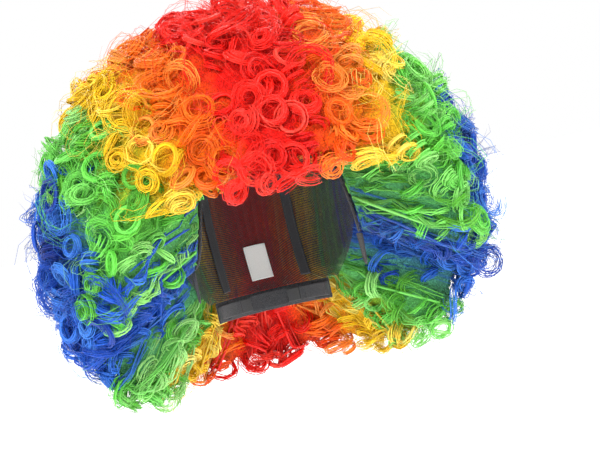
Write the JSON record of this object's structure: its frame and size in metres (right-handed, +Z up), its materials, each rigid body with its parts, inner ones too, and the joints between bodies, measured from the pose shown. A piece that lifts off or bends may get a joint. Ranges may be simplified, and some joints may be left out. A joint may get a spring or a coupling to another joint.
{
  "type": "costume wig",
  "caption": "Large round costume wig of tight rainbow ringlets, red over the top to blue at the ears, on a black stretch cap with size adjusters.",
  "frame": {"origin": "centre of the head inside the cap, level with the tops of the ears", "axes": "+Z up, -Y the way the wearer faces, +X to the wearer's left"},
  "size_m": [0.4032, 0.3474, 0.332],
  "materials": {
    "fibre_red": "red synthetic fibre, satin to glossy, in ringlets",
    "fibre_orange": "orange synthetic fibre, satin to glossy, in ringlets",
    "fibre_yellow": "yellow synthetic fibre, satin to glossy, in ringlets",
    "fibre_green": "green synthetic fibre, satin to glossy, in ringlets",
    "fibre_blue": "blue synthetic fibre, satin to glossy, in ringlets",
    "stretch_net": "black knitted stretch net with fine holes",
    "seam_tape": "black woven ribbon",
    "edge_band": "black ribbed elastic",
    "label_satin": "white woven satin, blank",
    "loop_pile": "black soft loop pile",
    "strap_elastic": "black woven elastic",
    "hook_pile": "black tape with tiny hooks on its outer face"
  },
  "bodies": {
    "cap": {"hair_red_front": "fibre_red", "hair_red_crown": "fibre_red", "hair_red_back": "fibre_red", "hair_orange_left_front": "fibre_orange", "hair_orange_left_crown": "fibre_orange", "hair_orange_left_back": "fibre_orange", "hair_orange_right_front": "fibre_orange", "hair_orange_right_crown": "fibre_orange", "hair_orange_right_back": "fibre_orange", "hair_yellow_left_front": "fibre_yellow", "hair_yellow_left_crown": "fibre_yellow", "hair_yellow_left_back": "fibre_yellow", "hair_yellow_right_front": "fibre_yellow", "hair_yellow_right_crown": "fibre_yellow", "hair_yellow_right_back": "fibre_yellow", "hair_green_left_front": "fibre_green", "hair_green_left_crown": "fibre_green", "hair_green_left_back": "fibre_green", "hair_green_right_front": "fibre_green", "hair_green_right_crown": "fibre_green", "hair_green_right_back": "fibre_green", "hair_blue_left_front": "fibre_blue", "hair_blue_left_crown": "fibre_blue", "hair_blue_left_back": "fibre_blue", "hair_blue_right_front": "fibre_blue", "hair_blue_right_crown": "fibre_blue", "hair_blue_right_back": "fibre_blue", "wefts_red": "fibre_red", "wefts_orange_left": "fibre_orange", "wefts_orange_right": "fibre_orange", "wefts_yellow_left": "fibre_yellow", "wefts_yellow_right": "fibre_yellow", "wefts_green_left": "fibre_green", "wefts_green_right": "fibre_green", "wefts_blue_left": "fibre_blue", "wefts_blue_right": "fibre_blue", "crown_net": "stretch_net", "left_side_net": "stretch_net", "right_side_net": "stretch_net", "left_seam_tape": "seam_tape", "right_seam_tape": "seam_tape", "front_band": "edge_band", "nape_band": "edge_band", "size_label": "label_satin", "nape_loop_strip": "loop_pile", "left_strap_anchor": "strap_elastic", "right_strap_anchor": "strap_elastic", "left_elastic_strap": "strap_elastic", "right_elastic_strap": "strap_elastic"},
    "left_ear_flap": {"left_ear_tab": "edge_band"},
    "right_ear_flap": {"right_ear_tab": "edge_band"},
    "left_adjuster_end": {"left_strap_end": "strap_elastic"},
    "right_adjuster_end": {"right_strap_end": "strap_elastic"},
    "left_hook": {"left_hook_tab": "hook_pile"},
    "right_hook": {"right_hook_tab": "hook_pile"}
  },
  "joints": [
    {"name": "left_adjuster", "type": "hinge", "parent": "cap", "child": "left_adjuster_end", "pos_m": [0, 0.02214, -0.07171], "axis": [0, 0, 1], "range_deg": [-8, 8], "deforming": ["left_elastic_strap"]},
    {"name": "left_hook_peel", "type": "hinge", "parent": "left_adjuster_end", "child": "left_hook", "pos_m": [0.02687, 0.06868, -0.07171], "axis": [0, 0, 1], "range_deg": [0, 60]},
    {"name": "left_ear_tab_fold", "type": "hinge", "parent": "cap", "child": "left_ear_flap", "pos_m": [0.0715, -0.02327, -0.02859], "axis": [0, 1, 0], "range_deg": [0, 60]},
    {"name": "right_adjuster", "type": "hinge", "parent": "cap", "child": "right_adjuster_end", "pos_m": [0, 0.02214, -0.07171], "axis": [0, 0, -1], "range_deg": [-8, 8], "deforming": ["right_elastic_strap"]},
    {"name": "right_hook_peel", "type": "hinge", "parent": "right_adjuster_end", "child": "right_hook", "pos_m": [-0.02687, 0.06868, -0.07171], "axis": [0, 0, -1], "range_deg": [0, 60]},
    {"name": "right_ear_tab_fold", "type": "hinge", "parent": "cap", "child": "right_ear_flap", "pos_m": [-0.0715, -0.02327, -0.02859], "axis": [0, -1, 0], "range_deg": [0, 60]}
  ]
}
